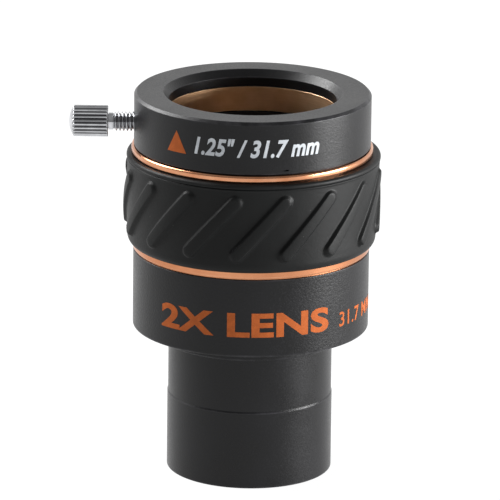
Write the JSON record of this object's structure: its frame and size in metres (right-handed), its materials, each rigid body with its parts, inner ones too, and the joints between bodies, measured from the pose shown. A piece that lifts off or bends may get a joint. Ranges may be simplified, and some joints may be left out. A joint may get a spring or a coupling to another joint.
{
  "type": "barlow lens",
  "caption": "Short cylindrical telescope barlow lens: slip-in nosepiece below, rubber-gripped body, and an eyepiece collar with a split clamping ring and a knurled thumbscrew.",
  "frame": {"origin": "centre of the nosepiece barrel's lower end, on the optical axis", "axes": "+Z along the optical axis towards the eyepiece; the thumbscrew points towards -X; -Y is the printed front"},
  "size_m": [0.0596, 0.0492, 0.0743],
  "materials": {
    "black_anodised": "black anodised, fine satin",
    "inner_black": "matte black anodised",
    "orange_anodised": "copper-orange anodised, satin",
    "grip_rubber": "matte moulded rubber",
    "brass": "turned brass",
    "bright_chrome": "bright plated brass",
    "black_steel": "black oxide",
    "coated_glass": "polished, multi-coated",
    "white_print": "screen-printed ink",
    "orange_print": "screen-printed ink"
  },
  "bodies": {
    "barlow_body": {"nosepiece_barrel": "black_anodised", "main_body": "black_anodised", "barrel_lock_ring": "inner_black", "light_baffle": "inner_black", "eyepiece_tube": "inner_black", "tube_set_screws": "black_steel", "lower_accent_ring": "orange_anodised", "grip_sleeve": "grip_rubber", "upper_accent_ring": "orange_anodised", "eyepiece_collar": "black_anodised", "lens_cell": "inner_black", "front_element": "coated_glass", "front_spacer": "inner_black", "middle_element": "coated_glass", "rear_spacer": "inner_black", "rear_element": "coated_glass", "lens_retaining_ring": "inner_black"},
    "clamp_ring": {"compression_ring": "brass"},
    "screw_stud": {"thumbscrew_stud": "bright_chrome"},
    "screw_head": {"thumbscrew_head": "bright_chrome"}
  },
  "joints": [
    {"name": "screw_travel", "type": "slide", "parent": "barlow_body", "child": "screw_stud", "axis": [1, 0, 0], "range_m": [-0.0049, 0.00035]},
    {"name": "screw_turn", "type": "hinge", "parent": "screw_stud", "child": "screw_head", "pos_m": [-0.0275, 0, 0.0682], "axis": [1, 0, 0], "range_deg": [-2544, 204]},
    {"name": "ring_squeeze", "type": "slide", "parent": "barlow_body", "child": "clamp_ring", "axis": [1, 0, 0], "range_m": [0, 0.0003], "stiffness_N_per_m": 300}
  ],
  "couplings": [
    {"joint": "screw_turn", "follows": "screw_travel", "rad_per_m": 8976}
  ]
}
